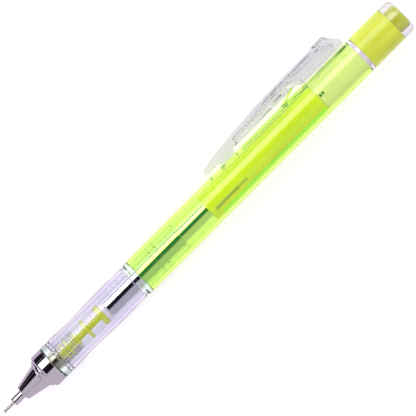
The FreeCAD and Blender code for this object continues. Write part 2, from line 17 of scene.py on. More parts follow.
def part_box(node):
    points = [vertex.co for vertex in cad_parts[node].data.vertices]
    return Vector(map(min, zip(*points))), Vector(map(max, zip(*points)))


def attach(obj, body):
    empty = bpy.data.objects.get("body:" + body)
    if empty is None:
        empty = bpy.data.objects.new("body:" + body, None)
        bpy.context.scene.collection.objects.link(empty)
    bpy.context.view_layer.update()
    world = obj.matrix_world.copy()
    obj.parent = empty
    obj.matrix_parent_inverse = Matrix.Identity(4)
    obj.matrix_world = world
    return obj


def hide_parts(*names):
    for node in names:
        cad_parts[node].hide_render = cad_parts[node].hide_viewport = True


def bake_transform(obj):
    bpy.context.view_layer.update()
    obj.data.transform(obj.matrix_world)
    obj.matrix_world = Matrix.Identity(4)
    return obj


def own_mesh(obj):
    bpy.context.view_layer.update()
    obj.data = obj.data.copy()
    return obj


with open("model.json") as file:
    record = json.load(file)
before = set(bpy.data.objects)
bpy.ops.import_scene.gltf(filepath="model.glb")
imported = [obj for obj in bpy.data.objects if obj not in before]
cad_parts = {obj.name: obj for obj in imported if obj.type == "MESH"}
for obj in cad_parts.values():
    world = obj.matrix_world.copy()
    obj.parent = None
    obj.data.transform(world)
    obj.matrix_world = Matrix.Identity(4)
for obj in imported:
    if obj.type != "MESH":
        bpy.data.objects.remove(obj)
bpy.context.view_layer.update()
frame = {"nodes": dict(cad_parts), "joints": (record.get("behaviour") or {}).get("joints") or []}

LOG = logging.getLogger("pencil")
MM = 0.001

Place = tuple[float, float]
Triple = tuple[float, float, float]
Colour = Triple
Obj = bpy.types.Object
Inputs = dict[int | str, object]
ALONG = Vector((1, 0, 0))


class Body(Enum):
    """The rigid bodies that pieces ride on."""

    BARREL = "barrel"
    KNOCK = "knock"
    WEIGHT = "weight"
    CLIP_SLIDER = "clip_slider"
    CLIP = "clip"
    KNOB = "knob"
    ERASER = "eraser"


class Solid(Enum):
    """How one solid changes another."""

    CUT = "DIFFERENCE"
    KEEP = "INTERSECT"
    ADD = "UNION"


# --- the drawing frame


def basis(first: Vector, second: Vector, third: Vector) -> Matrix:
    """The turn that takes X, Y and Z to three unit vectors."""
    return Matrix((first, second, third)).transposed().to_4x4()


@dataclass(frozen=True)
class Axis:
    """Where the pencil's axis lies in the row frame, and which way the clip points.

    Args:
        tip: The tip's place on the axis, in metres.
        out: The direction from the axis to the clip.
        side: The direction across the clip.
    """

    tip: Vector
    out: Vector
    side: Vector

    @classmethod
    def from_frame(cls) -> "Axis":
        """Reads the axis from the lead pipe's box and the clip's hinge line.

        Returns:
            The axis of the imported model.
        """
        low, high = (Vector(corner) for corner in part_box("lead_pipe"))
        tip = Vector((low.x, (low.y + high.y) / 2, (low.z + high.z) / 2))
        hinge = next(joint for joint in frame["joints"] if joint["name"] == "clip_flex")
        out = Vector(hinge["axis"]).cross(-ALONG).normalized()
        return cls(tip, out, ALONG.cross(out))

    def matrix(self) -> Matrix:
        """The change from the drawing frame, in millimetres, to the row frame."""
        return Matrix.Translation(self.tip) @ basis(ALONG, self.out, self.side) @ Matrix.Scale(MM, 4)

    def at(self, station: float, out: float = 0, side: float = 0) -> Vector:
        """The row-frame point of a drawing-frame place."""
        return self.matrix() @ Vector((station, out, side))

    def span(self, node: str) -> tuple[float, float, float]:
        """How far a turned CAD node reaches.

        Args:
            node: The node's name.

        Returns:
            Its first station, its last station and its radius, in millimetres.
        """
        low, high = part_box(node)
        radius = (high[2] - low[2]) / 2
        return (low[0] - self.tip.x) / MM, (high[0] - self.tip.x) / MM, radius / MM


AXIS = Axis.from_frame()


# --- modelling


class Bench:
    """Modelling steps that every piece shares; each leaves object mode and one active object."""

    MERGE = 1e-3
    SHARP = math.radians(24)
    SMOOTH = math.radians(28)

    @staticmethod
    def clear() -> None:
        """Leaves edit mode and deselects everything."""
        if bpy.context.object and bpy.context.object.mode != "OBJECT":
            bpy.ops.object.mode_set(mode="OBJECT")
        bpy.ops.object.select_all(action="DESELECT")

    @classmethod
    def focus(cls, obj: Obj, *others: Obj) -> None:
        """Selects an object, and others with it, and makes it the active one.

        Args:
            obj: The object that becomes active.
            *others: What is selected with it.
        """
        cls.clear()
        for chosen in (*others, obj):
            chosen.select_set(True)
        bpy.context.view_layer.objects.active = obj

    @classmethod
    def edit(cls, obj: Obj) -> None:
        """Opens one object alone in edit mode, with all of it selected.

        Args:
            obj: The object to open.
        """
        cls.focus(obj)
        bpy.ops.object.mode_set(mode="EDIT")
        bpy.ops.mesh.select_all(action="SELECT")

    @classmethod
    def chain(cls, name: str, places: Sequence[Vector]) -> Obj:
        """A chain of edges drawn point by point from a plane that is merged to one vertex.

        Args:
            name: The new object's name.
            places: The points, in the drawing frame.

        Returns:
            The object, left in edit mode with its last vertex selected.
        """
        cls.clear()
        bpy.ops.mesh.primitive_plane_add(size=1, location=places[0])
        obj = bpy.context.object
        obj.name = name
        cls.edit(obj)
        bpy.ops.mesh.merge(type="CENTER")
        for here, there in zip(places, places[1:]):
            bpy.ops.mesh.extrude_vertices_move(TRANSFORM_OT_translate={"value": tuple(there - here)})
        return obj

    @classmethod
    def turned(cls, name: str, outline: Sequence[Place], steps: int = 96) -> Obj:
        """A solid of revolution about the pencil's axis.

        Args:
            name: The new object's name.
            outline: An outline of (station, radius) places, closed unless it starts and ends on the axis.
            steps: How many faces go round.

        Returns:
            The turned object.
        """
        places = [Vector((station, radius, 0)) for station, radius in outline]
        obj = cls.chain(name, places + places[:1] if outline[0][1] > 0 else places)
        cls.merge()
        bpy.ops.mesh.spin(steps=steps, angle=math.tau, center=(places[0].x, 0, 0), axis=(1, 0, 0))
        cls.seal()
        return cls.settle(obj)

    @classmethod
    def merge(cls) -> None:
        """Merges the open mesh's doubles and selects what is left."""
        bpy.ops.mesh.select_all(action="SELECT")
        bpy.ops.mesh.remove_doubles(threshold=cls.MERGE)
        bpy.ops.mesh.select_all(action="SELECT")

    @classmethod
    def seal(cls) -> None:
        """Merges the open mesh's doubles and turns its faces outwards."""
        cls.merge()
        bpy.ops.mesh.normals_make_consistent(inside=False)
        bpy.ops.object.mode_set(mode="OBJECT")

    @classmethod
    def settle(cls, obj: Obj) -> Obj:
        """Moves an object's place, turn and size into its mesh.

        Args:
            obj: The object to settle.

        Returns:
            The same object.
        """
        cls.focus(obj)
        bpy.ops.object.transform_apply(location=True, rotation=True, scale=True)
        return obj

    @classmethod
    def moved(cls, obj: Obj, place: Triple, turn: Triple = (0, 0, 0)) -> Obj:
        """Moves and turns a settled object, and settles it again."""
        obj.location, obj.rotation_euler = place, turn
        return cls.settle(obj)

    @classmethod
    def slab(cls, name: str, outline: Sequence[Place], half_width: float) -> Obj:
        """A flat-sided solid from an outline in the side view, as thick to each side.

        Args:
            name: The new object's name.
            outline: A closed outline of (station, height) places.
            half_width: Half of the thickness.

        Returns:
            The solid.
        """
        places = [Vector((station, height, -half_width)) for station, height in outline]
        obj = cls.chain(name, places + places[:1])
        cls.merge()
        bpy.ops.mesh.edge_face_add()
        thick = (0, 0, 2 * half_width)
        bpy.ops.mesh.extrude_region_move(TRANSFORM_OT_translate={"value": thick})
        cls.seal()
        return cls.settle(obj)

    @classmethod
    def modify(cls, obj: Obj, kind: str, **settings: object) -> Obj:
        """Adds a modifier and applies it at once.

        Args:
            obj: The object to change.
            kind: The modifier's type.
            **settings: Its settings.

        Returns:
            The same object.
        """
        cls.focus(obj)
        modifier = obj.modifiers.new(kind.lower(), kind)
        for setting, value in settings.items():
            setattr(modifier, setting, value)
        bpy.ops.object.modifier_apply(modifier=modifier.name)
        return obj

    @classmethod
    def soften(cls, obj: Obj, width: float, segments: int = 2) -> Obj:
        """Rounds every sharp edge."""
        limit = {"limit_method": "ANGLE", "angle_limit": cls.SHARP}
        return cls.modify(obj, "BEVEL", width=width, segments=segments, **limit)

    @classmethod
    def combine(cls, obj: Obj, other: Obj, how: Solid = Solid.CUT) -> Obj:
        """Changes one solid with another, which is used up.

        Args:
            obj: The object that is changed.
            other: The solid that changes it.
            how: What the second does to the first.

        Returns:
            The changed object.
        """
        cls.modify(obj, "BOOLEAN", object=other, operation=how.value, solver="EXACT")
        bpy.data.objects.remove(other)
        return obj

    @classmethod
    def join(cls, obj: Obj, others: Sequence[Obj]) -> Obj:
        """Joins other objects' meshes into one object as separate shells.

        Args:
            obj: The object that stays.
            others: The objects that go into it.

        Returns:
            The joined object.
        """
        cls.focus(obj, *others)
        bpy.ops.object.join()
        return obj

    @classmethod
    def copies_round(cls, obj: Obj, count: int) -> list[Obj]:
        """An object and its copies, evenly spaced round the axis, each with its own mesh.

        Args:
            obj: The object to repeat.
            count: How many there are in all.

        Returns:
            All of them.
        """
        made = [obj]
        for index in range(1, count):
            twin = obj.copy()
            twin.data = obj.data.copy()
            bpy.context.scene.collection.objects.link(twin)
            twin.rotation_euler = (index * math.tau / count, 0, 0)
            made.append(cls.settle(twin))
        return made

    @classmethod
    def lay_down(cls, obj: Obj, body: Body | None, *replaced: str) -> Obj:
        """Puts a finished piece into the row frame, shades it smooth and lets it ride on its body.

        Args:
            obj: The piece, in the drawing frame.
            body: The body that it rides on, or None to leave it on no body.
            *replaced: The CAD nodes that it stands for.

        Returns:
            The same object.
        """
        obj.matrix_world = AXIS.matrix()
        cls.settle(obj)
        bpy.ops.object.shade_smooth_by_angle(angle=cls.SMOOTH)
        cls.modify(obj, "WEIGHTED_NORMAL", mode="FACE_AREA", keep_sharp=True, weight=100)
        if body:
            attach(obj, body.value)
        if replaced:
            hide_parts(*replaced)
        LOG.info("%s: %d faces on %s", obj.name, len(obj.data.polygons), body)
        return obj


def rounded(corner: Place, before: Place, after: Place, radius: float, count: int = 6) -> list[Place]:
    """A corner of an outline rounded with a quadratic curve.

    Args:
        corner: The corner's place.
        before: The place before it.
        after: The place after it.
        radius: How far from the corner the rounding starts and ends.
        count: How many places the curve has.

    Returns:
        The curve's places in order.
    """
    centre = Vector(corner)
    first = centre + (Vector(before) - centre).normalized() * radius
    last = centre + (Vector(after) - centre).normalized() * radius
    made = []
    for index in range(count + 1):
        part = index / count
        spot = first * (1 - part) ** 2 + centre * 2 * part * (1 - part) + last * part**2
        made.append((spot.x, spot.y))
    return made


def block(start: float, end: float, low: float, high: float) -> list[Place]:
    """A rectangle's outline."""
    return [(start, low), (end, low), (end, high), (start, high)]


def ridges(start: float, end: float, low: float, high: float, pitch: float) -> list[Place]:
    """The outline of a thread or a row of ribs along a stretch.

    Args:
        start: The first station.
        end: The last station.
        low: The radius in the grooves.
        high: The radius on the crests.
        pitch: Distance from crest to crest.

    Returns:
        The outline's places in order.
    """
    count = max(1, round((end - start) / pitch))
    step = (end - start) / count
    made = []
    for index in range(count):
        here = start + index * step
        made += [(here, low), (here + 0.3 * step, high), (here + 0.6 * step, high), (here + 0.9 * step, low)]
    return made + [(end, low)]


# --- shader maths


@dataclass(frozen=True)
class Wire:
    """A shader socket with arithmetic: an expression on wires adds the Math nodes that it needs."""

    socket: bpy.types.NodeSocket
    tree: "Tree"

    def _with(self, operation: str, *values: object) -> "Wire":
        """Adds one Math node."""
        inputs = dict(enumerate(values))
        return self.tree.node("ShaderNodeMath", {"operation": operation}, inputs)

    def __add__(self, other: "Wire | float") -> "Wire":
        """Sum."""
        return self._with("ADD", self, other)

    __radd__ = __add__

    def __mul__(self, other: "Wire | float") -> "Wire":
        """Product."""
        return self._with("MULTIPLY", self, other)

    __rmul__ = __mul__

    def step(self, low: float, high: float) -> "Wire":
        """A smooth 0 to 1 ramp between two values."""
        settings = {"interpolation_type": "SMOOTHSTEP"}
        return self.tree.node("ShaderNodeMapRange", settings, {"Value": self, "From Min": low, "From Max": high})


@dataclass
class Tree:
    """The node tree of one finish.

    Args:
        name: The material's name.
    """

    name: str
    material: bpy.types.Material = field(init=False)

    def __post_init__(self) -> None:
        """Makes the material with only its output node."""
        self.material = bpy.data.materials.new(self.name)
        self.material.use_nodes = True
        self.material.node_tree.nodes.clear()

    def node(self, kind: str, settings: dict[str, object], inputs: Inputs, output: int | str = 0) -> Wire:
        """Adds any node.

        Args:
            kind: The node's type.
            settings: Its properties, which are set first.
            inputs: Values or wires by socket name or number.
            output: The output socket's name or number.

        Returns:
            The wire from that output.
        """
        made = self.material.node_tree.nodes.new(kind)
        for setting, value in settings.items():
            setattr(made, setting, value)
        for socket, value in inputs.items():
            if isinstance(value, Wire):
                self.material.node_tree.links.new(value.socket, made.inputs[socket])
            else:
                made.inputs[socket].default_value = value
        return Wire(made.outputs[output], self)

    def spot(self, stretch: Sequence[float] = (1, 1, 1)) -> Wire:
        """The object's own coordinates, stretched along the row axes."""
        here = self.node("ShaderNodeTexCoord", {}, {}, "Object")
        return self.node("ShaderNodeMapping", {}, {"Vector": here, "Scale": tuple(stretch)})

    def noise(self, scale: float, stretch: Sequence[float] = (1, 1, 1), detail: float = 3) -> Wire:
        """A noise pattern on the object's own coordinates."""
        inputs = {"Vector": self.spot(stretch), "Scale": scale, "Detail": detail, "Roughness": 0.55}
        return self.node("ShaderNodeTexNoise", {}, inputs, "Fac")

    def blend(self, factor: Wire, first: Colour, second: Colour) -> Wire:
        """Mixes two colours."""
        inputs = {"Factor": factor, 6: (*first, 1), 7: (*second, 1)}
        return self.node("ShaderNodeMix", {"data_type": "RGBA"}, inputs, 2)

    def principled(self, inputs: Inputs) -> Wire:
        """Adds a Principled shader."""
        return self.node("ShaderNodeBsdfPrincipled", {}, inputs)

    def bump(self, height: Wire, distance: float, strength: float) -> Wire:
        """A bump from a height pattern."""
        return self.node("ShaderNodeBump", {}, {"Height": height, "Distance": distance, "Strength": strength})

    def finish(self, surface: Wire, volume: Wire | None = None) -> bpy.types.Material:
        """Connects the surface and the inside.

        Args:
            surface: The shader to show.
            volume: What the inside does to light, if anything.

        Returns:
            The material.
        """
        out = self.material.node_tree.nodes.new("ShaderNodeOutputMaterial")
        self.material.node_tree.links.new(surface.socket, out.inputs["Surface"])
        if volume:
            self.material.node_tree.links.new(volume.socket, out.inputs["Volume"])
        return self.material


def shade(colour: Colour, factor: float) -> Colour:
    """A colour scaled in brightness."""
    return tuple(min(1.0, channel * factor) for channel in colour)


# --- finishes


@dataclass(frozen=True)
class Clear:
    """Clear or tinted moulded plastic that lets lamp light through.

    Args:
        name: The material's name.
        tint: What one wall does to light.
        shadow: What a lamp's light keeps as it passes.
        roughness: How rough the surface is.
        ior: The plastic's refractive index.
        flow: How deep the moulding's flow waves are, in metres.
        gloss: The colour of what the surface reflects.
        painted_glow_colour: The colour of the emission, painted light that stands in for fluorescence.
        painted_glow: How strongly the plastic shines by its emission, painted light that brightens it where no
            lamp does.
        body: The colour that a thick piece goes towards.
        density: How fast it goes there, per metre.
    """

    name: str
    tint: Colour
    shadow: Colour
    roughness: float = 0.02
    ior: float = 1.49
    flow: float = 2e-6
    gloss: Colour = (1.0, 1.0, 1.0)
    painted_glow_colour: Colour = (1.0, 1.0, 1.0)
    painted_glow: float = 0.0
    body: Colour = (1.0, 1.0, 1.0)
    density: float = 0.0

    def make(self) -> bpy.types.Material:
        """Builds the material.

        Returns:
            The material.
        """
        tree = Tree(self.name)
        flow = tree.noise(420, (0.12, 1, 1), 2)
        specks = tree.noise(5200, (1, 1, 1), 2).step(0.66, 0.8)
        tint = tree.blend(tree.noise(160, (0.3, 1, 1), 1), shade(self.tint, 0.97), shade(self.tint, 1.02))
        rough = specks * 0.05 + self.roughness
        surface = tree.principled({
            "Base Color": tint,
            "Roughness": rough,
            "IOR": self.ior,
            "Transmission Weight": 1.0,
            "Specular Tint": (*self.gloss, 1),
            # Emission is painted light: the plastic shines as if lit, in place of fluorescence.
            "Emission Color": (*self.painted_glow_colour, 1),
            "Emission Strength": self.painted_glow,
            "Normal": tree.bump(flow, self.flow, 0.35),
        })
        open_way = tree.node("ShaderNodeBsdfTransparent", {}, {"Color": (*self.shadow, 1)})
        for ray in ("Is Diffuse Ray", "Is Shadow Ray"):
            passing = tree.node("ShaderNodeLightPath", {}, {}, ray)
            surface = tree.node("ShaderNodeMixShader", {}, {0: passing, 1: surface, 2: open_way})
        if not self.density:
            return tree.finish(surface)
        inside = {"Color": (*self.body, 1), "Density": self.density}
        return tree.finish(surface, tree.node("ShaderNodeVolumeAbsorption", {}, inside))


@dataclass(frozen=True)
class Plated:
    """Bright plated metal with fine turning lines and a few smudges.

    Args:
        name: The material's name.
        colour: The metal's colour.
        roughness: How rough it is.
        turning: How deep the turning lines are, in metres.
    """

    name: str
    colour: Colour
    roughness: float = 0.05
    turning: float = 6e-7

    def make(self) -> bpy.types.Material:
        """Builds the material.

        Returns:
            The material.
        """
        tree = Tree(self.name)
        smudge = tree.noise(260, (0.5, 1, 1), 4).step(0.45, 0.8)
        lines = tree.noise(9000, (1, 0.02, 0.02), 2)
        colour = tree.blend(smudge, self.colour, shade(self.colour, 0.93))
        metal = tree.principled({
            "Base Color": colour,
            "Metallic": 1.0,
            "Roughness": smudge * 0.05 + self.roughness,
            "Normal": tree.bump(lines, self.turning, 0.5),
        })
        return tree.finish(metal)


@dataclass(frozen=True)
class Moulded:
    """Opaque or nearly opaque moulded plastic.

    Args:
        name: The material's name.
        colour: Its colour.
        roughness: How rough it is.
        painted_glow: How strongly the plastic shines by its emission, painted light that brightens it where no
            lamp does.
        scatter: How deep light goes in, from 0 to 1.
        texture: How deep the surface texture is, in metres.
    """

    name: str
    colour: Colour
    roughness: float = 0.28
    painted_glow: float = 0.0
    scatter: float = 0.25
    texture: float = 2e-6

    def make(self) -> bpy.types.Material:
        """Builds the material.

        Returns:
            The material.
        """
        tree = Tree(self.name)
        cloud = tree.noise(240, (0.35, 1, 1), 3)
        grain = tree.noise(4200, (1, 1, 1), 2)
        colour = tree.blend(cloud.step(0.3, 0.7), shade(self.colour, 0.93), shade(self.colour, 1.05))
        plastic = tree.principled({
            "Base Color": colour,
            "Roughness": grain * 0.08 + (self.roughness - 0.04),
            "Subsurface Weight": self.scatter,
            "Subsurface Radius": (1.0, 1.0, 0.5),
            "Subsurface Scale": 0.0008,
            "Coat Weight": 0.25,
            "Coat Roughness": 0.08,
            # Emission is painted light that brightens the part as if lit.
            "Emission Color": (*self.colour, 1),
            "Emission Strength": self.painted_glow,
            "Normal": tree.bump(grain, self.texture, 0.5),
        })
        return tree.finish(plastic)


class Finish(Enum):
    """Every finish on the pencil."""

    PLATE = Plated("bright_plate", (0.80, 0.72, 0.81), 0.045)
    WEIGHT_PLATE = Plated("weight_plate", (0.96, 0.94, 0.97), 0.04)
    PIPE_STEEL = Plated("drawn_pipe_steel", (0.60, 0.58, 0.56), 0.22, 1.2e-6)
    # In the spring, coupler, carrier, knob, rail and milky finishes the last number is emission, painted light
    # that brightens the part as if a lamp lit it.
    SPRING_WIRE = Moulded("coated_spring_wire", (0.76, 0.78, 0.30), 0.3, 0.10)
    CAGE_METAL = Plated("cage_metal", (0.66, 0.60, 0.50), 0.16, 1.5e-6)
    BRASS = Plated("turned_brass", (0.82, 0.62, 0.28), 0.14, 1.5e-6)
    CORE_CLEAR = Clear(
        "clear_core_plastic", (0.95, 0.98, 0.97), (0.985, 0.995, 0.99),
        ior=1.56, body=(0.12, 0.62, 0.52), density=30.0,
    )
    CAGE_CLEAR = Clear("clear_cage_plastic", (0.97, 0.97, 0.96), (0.99, 0.99, 0.98))
    CAP_CLEAR = Clear(
        "clear_cap_plastic", (0.955, 0.945, 0.97), (0.98, 0.98, 0.99),
        ior=1.56, body=(0.25, 0.10, 0.40), density=80.0,
    )
    CLIP_CLEAR = Clear(
        "clear_clip_plastic", (0.95, 0.945, 0.975), (0.99, 0.99, 0.99),
        ior=1.585, body=(0.18, 0.13, 0.36), density=56.0,
    )
    GRIP_SKIN = Clear(
        "lavender_grip", (0.965, 0.94, 0.985), (0.99, 0.98, 0.995),
        0.08, 1.40, 1e-6, body=(0.40, 0.13, 0.76), density=120.0,
    )
    # The lime plastic's emission is painted light, standing in for fluorescence.
    LIME = Clear(
        "lime_barrel_plastic", (0.88, 0.95, 0.73), (0.97, 1.0, 0.90),
        gloss=(0.45, 0.75, 1.0), painted_glow_colour=(0.12, 0.85, 0.25), painted_glow=0.06, body=(0.875, 0.935, 0.03), density=620.0,
    )
    COUPLER = Moulded("coupler_plastic", (0.62, 0.69, 0.05), 0.25, 0.10)
    CARRIER = Moulded("carrier_plastic", (0.72, 0.74, 0.02), 0.22, 0.06)
    KNOB = Moulded("knob_plastic", (0.56, 0.62, 0.045), 0.30, 0.08)
    RAIL = Moulded("rail_plastic", (0.40, 0.84, 0.06), 0.2, 0.16)
    MILKY = Moulded("milky_plastic", (0.79, 0.75, 0.82), 0.25, 0.08)
    MARK = Moulded("dark_green_plastic", (0.01, 0.10, 0.03), 0.35)
    WHITE = Moulded("white_plastic", (0.85, 0.86, 0.84), 0.30)
    ERASER = Moulded("eraser_compound", (0.86, 0.86, 0.80), 0.62, 0.0, 0.4, 8e-6)
    GRAPHITE = Moulded("graphite_lead", (0.03, 0.03, 0.035), 0.35, 0.0, 0.0)
    RUBBER = Moulded("black_rubber", (0.02, 0.02, 0.02), 0.6, 0.0, 0.0, 5e-6)

    def show(self, obj: Obj, body: Body, *replaced: str) -> Obj:
        """Lays a piece down on its body, in this finish."""
        return self.dress(Bench.lay_down(obj, body, *replaced))

    def dress(self, obj: Obj) -> Obj:
        """Gives an object this finish.

        Args:
            obj: The object to dress.

        Returns:
            The same object.
        """
        material = bpy.data.materials.get(self.value.name) or self.value.make()
        obj.data.materials.clear()
        obj.data.materials.append(material)
        return obj


def dress_node(node: str, finish: Finish) -> None:
    """Gives a CAD node that is shown as it is a finish."""
    finish.dress(frame["nodes"][node])
    LOG.info("%s: kept from the frame", node)


# --- sub-assemblies


@dataclass
class Nose:
    """The lead pipe, the plated nose and what they hold."""

    spigot_r: float = 1.22
    cone_front_r: float = 2.12
    cone_back_r: float = 3.46
    collar_r: float = 4.34
    shoulder_r: float = 4.5
    groove: float = 0.16
    edge: float = 0.07

    def build(self) -> None:
        """Builds and dresses the nose's pieces."""
        self.pipe()
        self.cone()
        for node, finish in (("lead_retainer", Finish.RUBBER), ("lead", Finish.GRAPHITE)):
            dress_node(node, finish)

    def pipe(self) -> None:
        """The drawn steel pipe, rolled in at its mouth."""
        start, end, radius = AXIS.span("lead_pipe")
        bore = 0.3
        outline = [(start + 0.06, bore), (start, bore + 0.04), (start, radius - 0.06)]
        outline += rounded((start, radius), outline[-1], (end, radius), 0.06, 4)
        outline += [(end, radius), (end, bore)]
        Finish.PIPE_STEEL.show(Bench.turned("lead_pipe_tube", outline, 48), Body.BARREL, "lead_pipe")

    def cone(self) -> None:
        """The nose: spigot, rounded cone, grooved collar, cylinder and threaded socket."""
        start, end, radius = AXIS.span("nose_cone")
        step, cone_end, collar_end, shoulder = start + 3.3, 13.3, 14.4, 15.0
        thread_r, bore_r, seat_r, mouth = 3.74, 2.05, 1.7, 0.42
        front = (step, self.cone_front_r)
        outline = [(start, mouth), (start, self.spigot_r - 0.1), (start + 0.1, self.spigot_r)]
        neck_r = self.spigot_r - 0.05
        outline += [(step - 0.12, self.spigot_r), (step - 0.1, neck_r), (step, neck_r)]
        outline += rounded(front, (step, 0), (cone_end, self.cone_back_r), 0.5)
        deep, collar_deep = self.cone_back_r - self.groove, self.collar_r - self.groove
        outline += [(cone_end, self.cone_back_r), (cone_end + 0.02, deep)]
        outline += [(cone_end + 0.2, deep), (cone_end + 0.22, self.cone_back_r + 0.05)]
        outline += [(collar_end, self.collar_r), (collar_end + 0.02, collar_deep)]
        outline += [(collar_end + 0.18, collar_deep), (collar_end + 0.2, self.shoulder_r - 0.04)]
        outline += [(shoulder - 0.35, self.shoulder_r)]
        outline += rounded((shoulder, radius), (shoulder - 0.3, self.shoulder_r), (end, radius), 0.3)
        outline += [(end - 0.12, radius), (end, radius - 0.12), (end, thread_r + 0.15), (end - 0.15, thread_r)]
        for station, wide, narrow in ((15.4, thread_r, bore_r), (12.3, bore_r, seat_r), (9.4, seat_r, mouth)):
            outline += [(station, wide), (station, narrow)]
        nose = Bench.turned("nose_shell", outline, 128)
        Bench.soften(nose, self.edge)
        Finish.PLATE.show(nose, Body.BARREL, "nose_cone")


@dataclass
class Feed:
    """The chuck, its clutch ring and spring, the flanged coupler, and the tube behind them."""

    coupler_r: float = 1.0

    def build(self) -> None:
        """Builds and dresses the feed's pieces."""
        for node in ("chuck", "clutch_ring"):
            dress_node(node, Finish.BRASS)
        self.cage()
        self.spring()
        self.coupler()
        self.striker()
        self.lead_tube()

    def cage(self) -> None:
        """The threaded brass foot of the spring cage, and the clear slotted cage on it."""
        start, end, foot_r = AXIS.span("spring_cage")
        foot_end, cage_r, cage_bore, foot_bore = start + 3.66, 2.35, 2.08, 1.55
        outline = [(start, foot_bore), (start, foot_r - 0.2), (start + 0.2, foot_r)]
        outline += [(start + 0.9, foot_r)] + ridges(start + 1.0, foot_end, foot_r - 0.2, foot_r, 0.42)
        foot = Bench.turned("spring_cage_foot", outline + [(foot_end, foot_bore)], 72)
        Finish.CAGE_METAL.show(foot, Body.BARREL, "spring_cage")
        root, web = foot_end + 0.04, 0.4
        outline = [(root, foot_bore), (root, cage_r), (end - 0.1, cage_r), (end, cage_r - 0.1), (end, cage_bore)]
        cage = Bench.turned("spring_cage_tube", outline + [(root + 0.2, cage_bore), (root + 0.2, foot_bore)], 72)
        slot = Bench.slab("cage_slot", block(root + web, end - web, 0.1, cage_r + 1), 0.42)
        for cutter in Bench.copies_round(slot, 9):
            Bench.combine(cage, cutter)
        Bench.soften(cage, 0.05, 2)
        Finish.CAGE_CLEAR.show(cage, Body.BARREL)
        for number, station in enumerate((22.4, 23.8)):
            low, high = cage_r + 0.01, cage_r + 0.27
            outline = [(station, low), (station, high), (station + 0.45, high), (station + 0.45, low)]
            ring = Bench.soften(Bench.turned("spring_cage_ring_%d" % (number + 1), outline, 72), 0.06)
            Finish.COUPLER.show(ring, Body.BARREL)

    def spring(self) -> None:
        """The return spring as round wire, spun along its helix."""
        start, end, coil_r = AXIS.span("return_spring")
        wire_r, turns, steps = 0.18, 8, 24
        Bench.clear()
        centre = (start + wire_r, coil_r - wire_r, 0)
        bpy.ops.mesh.primitive_circle_add(vertices=10, radius=wire_r, fill_type="NGON", location=centre)
        coil = bpy.context.object
        coil.name = "return_spring_coil"
        Bench.edit(coil)
        rise = (end - start - 2 * wire_r) / (turns * steps)
        for _ in range(turns * steps):
            bpy.ops.mesh.extrude_region_move(TRANSFORM_OT_translate={"value": (rise, 0, 0)})
            bpy.ops.transform.rotate(
                value=-math.tau / steps, orient_axis="X", orient_type="GLOBAL", center_override=(0, 0, 0)
            )
        Bench.seal()
        Bench.settle(coil)
        Finish.SPRING_WIRE.show(coil, Body.BARREL, "return_spring")
        travel = 3.0
        tuple(AXIS.at(start))
        1 - travel / (end - start)
        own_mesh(coil)

    def coupler(self) -> None:
        """The coloured coupler with its three flanges."""
        start, end, flange_r = AXIS.span("guide_tube")
        bore, edge = 0.74, 0.12
        outline = [(start, bore), (start, self.coupler_r - 0.1), (start + 0.1, self.coupler_r)]
        for first, last, radius in ((26.7, 27.4, 1.95), (30.5, 31.3, flange_r), (35.4, end - 0.5, flange_r)):
            outline += [(first - 0.3, self.coupler_r), (first, self.coupler_r + 0.2), (first, radius - edge)]
            outline += [(first + edge, radius), (last - edge, radius), (last, radius - edge)]
            outline += [(last, self.coupler_r + 0.2), (last + 0.3, self.coupler_r)]
        outline[-1] = (end - 0.5, self.coupler_r)
        outline += [(end, self.coupler_r), (end, bore)]
        Finish.COUPLER.show(Bench.turned("flanged_coupler", outline, 72), Body.KNOCK, "guide_tube")

    def striker(self) -> None:
        """The white striker collar."""
        start, end, radius = AXIS.span("striker_collar")
        bore, hole = 1.52, 1.02
        outline = [(start, hole), (start, radius - 0.15), (start + 0.15, radius), (end - 0.2, radius)]
        outline += rounded((end, radius), (end - 0.2, radius), (end, 0), 0.2) + [(end, bore), (end - 0.8, bore)]
        outline += [(end - 0.8, hole)]
        Finish.WHITE.show(Bench.turned("striker_ring", outline, 72), Body.KNOCK, "striker_collar")

    def lead_tube(self) -> None:
        """The tube of spare leads."""
        start, end, radius = AXIS.span("lead_tube")
        bore = 0.8
        outline = [(start, bore), (start, radius), (end - 0.1, radius), (end, radius - 0.1), (end, bore + 0.2)]
        tube = Bench.turned("spare_lead_tube", outline + [(end - 0.2, bore)], 48)
        Finish.WHITE.show(tube, Body.KNOCK, "lead_tube")


